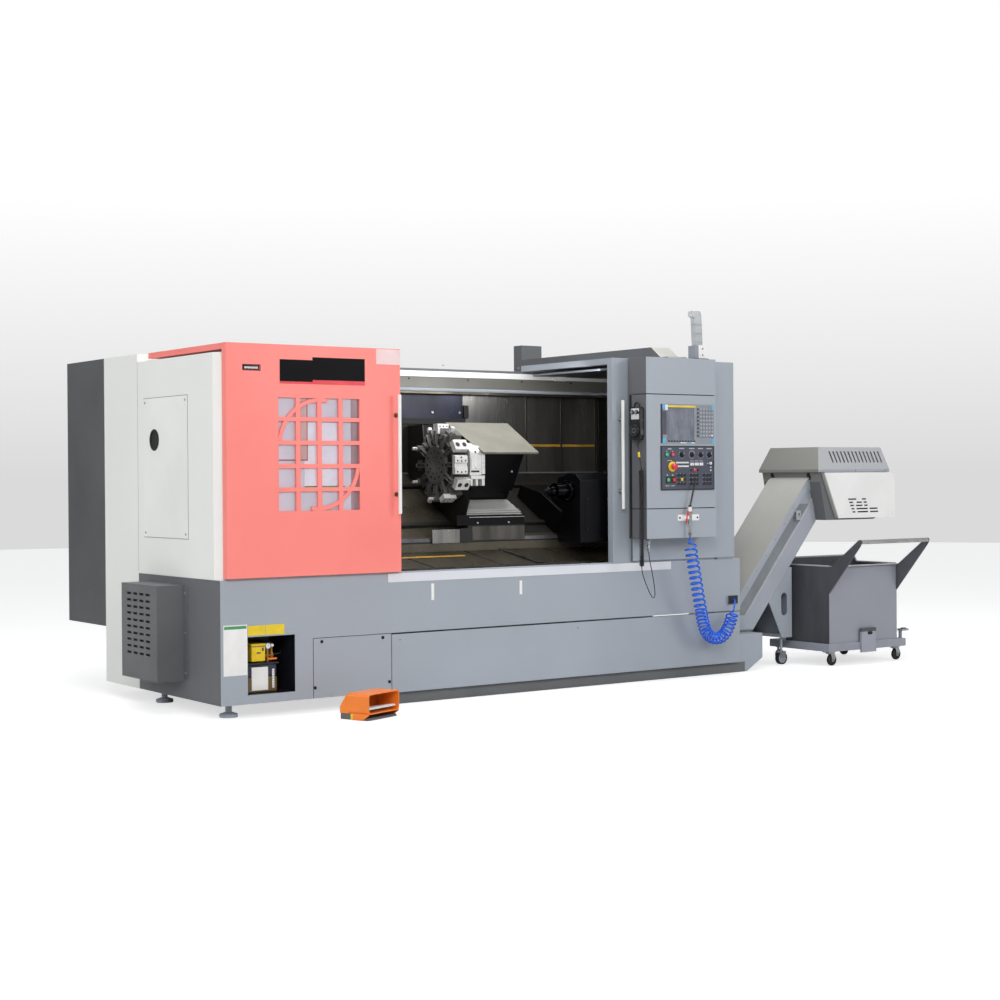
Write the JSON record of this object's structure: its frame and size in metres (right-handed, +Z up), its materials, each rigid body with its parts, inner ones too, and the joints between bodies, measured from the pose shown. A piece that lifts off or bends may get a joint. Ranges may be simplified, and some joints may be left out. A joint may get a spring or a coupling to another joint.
{
  "type": "cnc turning lathe",
  "caption": "Slant-bed turning lathe with sliding L-shaped doors, tool turret, operator station, inclined chip conveyor, chip cart and foot pedal.",
  "frame": {"origin": "centre of the whole set's footprint, on the shop floor", "axes": "+X to the operator's right along the machine, towards the chip conveyor; +Y away from the operator, towards the electrical cabinet; +Z up"},
  "size_m": [4.921, 2.3702, 2.1133],
  "materials": {
    "grey_paint": "textured satin grey paint",
    "dark_paint": "satin dark grey paint",
    "white_paint": "satin off-white paint",
    "coral_paint": "satin coral paint",
    "trunk_paint": "satin warm grey paint",
    "cart_paint": "satin slate grey paint",
    "orange_paint": "hammered orange paint",
    "chamber_steel": "dark folded steel",
    "bed_casting": "painted casting with ground ways",
    "machined_steel": "turned and ground steel",
    "turret_steel": "blackened steel with bright edges",
    "slide_sheet": "satin light sheet",
    "bright_bar": "polished bar",
    "pane": "clear polycarbonate",
    "panel_black": "moulded black panel",
    "display_plastic": "moulded grey-blue bezel",
    "red_plastic": "gloss red cap",
    "green_plastic": "gloss green cap",
    "clear_lens": "clear lamp housing",
    "white_gloss": "gloss white paint",
    "yellow_casting": "yellow enamel",
    "tread": "dark rubber tread",
    "zinc": "zinc plated steel",
    "pedal_grip": "ribbed cast pedal",
    "hose_blue": "blue polyurethane hose",
    "cord_black": "black rubber cord"
  },
  "bodies": {
    "machine": {"base_enclosure": "grey_paint", "left_cover": "white_paint", "access_panel": "white_paint", "electrical_cabinet": "dark_paint", "vent_cover": "dark_paint", "coolant_tank": "grey_paint", "right_enclosure": "grey_paint", "rear_cover": "chamber_steel", "cable_duct": "dark_paint", "chip_pan": "chamber_steel", "slant_bed": "bed_casting", "headstock": "bed_casting", "lubricator": "yellow_casting", "operator_station": "grey_paint", "display_unit": "display_plastic", "control_panel": "panel_black", "handwheel_pendant": "panel_black", "signal_tower": "clear_lens", "air_gun": "zinc", "air_hose": "hose_blue", "pendant_cord": "cord_black", "conveyor_trunk": "trunk_paint", "conveyor_head": "dark_paint", "conveyor_side_cover": "white_gloss", "conveyor_leg": "grey_paint", "cart_bin": "cart_paint", "cart_frame": "cart_paint", "pedal_guard": "orange_paint"},
    "left_door": {"left_door": "coral_paint", "left_door_window": "pane", "left_door_handle": "bright_bar"},
    "right_door": {"right_door": "grey_paint", "right_door_handle": "bright_bar"},
    "chuck": {"chuck_body": "machined_steel"},
    "jaw_1": {"chuck_jaw_1": "machined_steel"},
    "jaw_2": {"chuck_jaw_2": "machined_steel"},
    "jaw_3": {"chuck_jaw_3": "machined_steel"},
    "saddle": {"saddle": "chamber_steel"},
    "cross_slide": {"cross_slide": "slide_sheet"},
    "turret": {"turret_disc": "turret_steel"},
    "tailstock": {"tailstock": "chamber_steel"},
    "quill": {"quill": "machined_steel"},
    "handwheel": {"handwheel": "panel_black"},
    "knob_1": {"selector_knob_1": "panel_black"},
    "knob_2": {"selector_knob_2": "panel_black"},
    "knob_3": {"selector_knob_3": "panel_black"},
    "knob_4": {"selector_knob_4": "panel_black"},
    "power_on_button": {"power_on_button": "green_plastic"},
    "power_off_button": {"power_off_button": "red_plastic"},
    "start_button": {"start_button": "green_plastic"},
    "hold_button": {"hold_button": "red_plastic"},
    "emergency_stop": {"emergency_stop": "red_plastic"},
    "left_pedal": {"left_pedal": "pedal_grip"},
    "right_pedal": {"right_pedal": "pedal_grip"},
    "front_left_castor": {"front_left_castor_fork": "zinc"},
    "front_left_wheel": {"front_left_wheel": "tread"},
    "rear_left_wheel": {"rear_left_wheel": "tread"},
    "front_right_castor": {"front_right_castor_fork": "zinc"},
    "front_right_wheel": {"front_right_wheel": "tread"},
    "rear_right_wheel": {"rear_right_wheel": "tread"}
  },
  "joints": [
    {"name": "left_door_slide", "type": "slide", "parent": "machine", "child": "left_door", "axis": [1, 0, 0], "range_m": [0, 0.749]},
    {"name": "right_door_slide", "type": "slide", "parent": "machine", "child": "right_door", "axis": [-1, 0, 0], "range_m": [0, 0.667]},
    {"name": "spindle", "type": "hinge", "parent": "machine", "child": "chuck", "pos_m": [-1.4685, -0.54686, 1.088], "axis": [1, 0, 0], "continuous": true},
    {"name": "jaw_1_slide", "type": "slide", "parent": "chuck", "child": "jaw_1", "axis": [0, 0, 1], "range_m": [-0.018, 0.012]},
    {"name": "jaw_2_slide", "type": "slide", "parent": "chuck", "child": "jaw_2", "axis": [0, -0.866, -0.5], "range_m": [-0.018, 0.012]},
    {"name": "jaw_3_slide", "type": "slide", "parent": "chuck", "child": "jaw_3", "axis": [0, 0.866, -0.5], "range_m": [-0.018, 0.012]},
    {"name": "saddle_feed", "type": "slide", "parent": "machine", "child": "saddle", "axis": [1, 0, 0], "range_m": [-0.42, 0.05]},
    {"name": "cross_feed", "type": "slide", "parent": "saddle", "child": "cross_slide", "axis": [0, 0.866, 0.5], "range_m": [-0.06, 0.16]},
    {"name": "turret_index", "type": "hinge", "parent": "cross_slide", "child": "turret", "pos_m": [-0.7635, -0.28706, 1.238], "axis": [1, 0, 0], "continuous": true},
    {"name": "tailstock_slide", "type": "slide", "parent": "machine", "child": "tailstock", "axis": [1, 0, 0], "range_m": [-0.09, 0.38]},
    {"name": "quill_feed", "type": "slide", "parent": "tailstock", "child": "quill", "axis": [1, 0, 0], "range_m": [-0.08, 0.03]},
    {"name": "handwheel_turn", "type": "hinge", "parent": "machine", "child": "handwheel", "pos_m": [0.1979, -0.84086, 1.425], "axis": [1, 0, 0], "continuous": true},
    {"name": "knob_1_turn", "type": "hinge", "parent": "machine", "child": "knob_1", "pos_m": [0.4825, -0.90616, 1.289], "axis": [0, -1, 0], "range_deg": [-120, 120]},
    {"name": "knob_2_turn", "type": "hinge", "parent": "machine", "child": "knob_2", "pos_m": [0.5585, -0.90616, 1.289], "axis": [0, -1, 0], "range_deg": [-120, 120]},
    {"name": "knob_3_turn", "type": "hinge", "parent": "machine", "child": "knob_3", "pos_m": [0.6245, -0.90616, 1.289], "axis": [0, -1, 0], "range_deg": [-120, 120]},
    {"name": "knob_4_turn", "type": "hinge", "parent": "machine", "child": "knob_4", "pos_m": [0.6895, -0.90616, 1.289], "axis": [0, -1, 0], "range_deg": [-120, 120]},
    {"name": "power_on_button_press", "type": "slide", "parent": "machine", "child": "power_on_button", "axis": [0, 1, 0], "range_m": [0, 0.003], "stiffness_N_per_m": 300, "springref_m": -0.002},
    {"name": "power_off_button_press", "type": "slide", "parent": "machine", "child": "power_off_button", "axis": [0, 1, 0], "range_m": [0, 0.003], "stiffness_N_per_m": 300, "springref_m": -0.002},
    {"name": "start_button_press", "type": "slide", "parent": "machine", "child": "start_button", "axis": [0, 1, 0], "range_m": [0, 0.003], "stiffness_N_per_m": 300, "springref_m": -0.002},
    {"name": "hold_button_press", "type": "slide", "parent": "machine", "child": "hold_button", "axis": [0, 1, 0], "range_m": [0, 0.003], "stiffness_N_per_m": 300, "springref_m": -0.002},
    {"name": "emergency_stop_press", "type": "slide", "parent": "machine", "child": "emergency_stop", "axis": [0, 1, 0], "range_m": [0, 0.005], "stiffness_N_per_m": 800, "springref_m": -0.002},
    {"name": "left_pedal_press", "type": "hinge", "parent": "machine", "child": "left_pedal", "pos_m": [-1.74968, -1.01446, 0.0183], "axis": [0.9272, 0.3746, 0], "range_deg": [0, 8], "stiffness_Nm_per_rad": 6, "springref_deg": -11.46},
    {"name": "right_pedal_press", "type": "hinge", "parent": "machine", "child": "right_pedal", "pos_m": [-1.64677, -0.97288, 0.0183], "axis": [0.9272, 0.3746, 0], "range_deg": [0, 8], "stiffness_Nm_per_rad": 6, "springref_deg": -11.46},
    {"name": "front_left_castor_swivel", "type": "hinge", "parent": "machine", "child": "front_left_castor", "pos_m": [1.7615, -0.79286, 0.0905], "axis": [0, 0, 1], "continuous": true},
    {"name": "front_left_wheel_roll", "type": "hinge", "parent": "front_left_castor", "child": "front_left_wheel", "pos_m": [1.7835, -0.79286, 0.036], "axis": [0, 1, 0], "continuous": true},
    {"name": "rear_left_wheel_roll", "type": "hinge", "parent": "machine", "child": "rear_left_wheel", "pos_m": [1.7615, -0.36586, 0.036], "axis": [1, 0, 0], "continuous": true},
    {"name": "front_right_castor_swivel", "type": "hinge", "parent": "machine", "child": "front_right_castor", "pos_m": [2.3345, -0.79286, 0.0905], "axis": [0, 0, 1], "continuous": true},
    {"name": "front_right_wheel_roll", "type": "hinge", "parent": "front_right_castor", "child": "front_right_wheel", "pos_m": [2.3565, -0.79286, 0.036], "axis": [0, 1, 0], "continuous": true},
    {"name": "rear_right_wheel_roll", "type": "hinge", "parent": "machine", "child": "rear_right_wheel", "pos_m": [2.3345, -0.36586, 0.036], "axis": [1, 0, 0], "continuous": true}
  ],
  "couplings": [
    {"joint": "jaw_2_slide", "follows": "jaw_1_slide", "ratio": 1},
    {"joint": "jaw_3_slide", "follows": "jaw_1_slide", "ratio": 1}
  ]
}
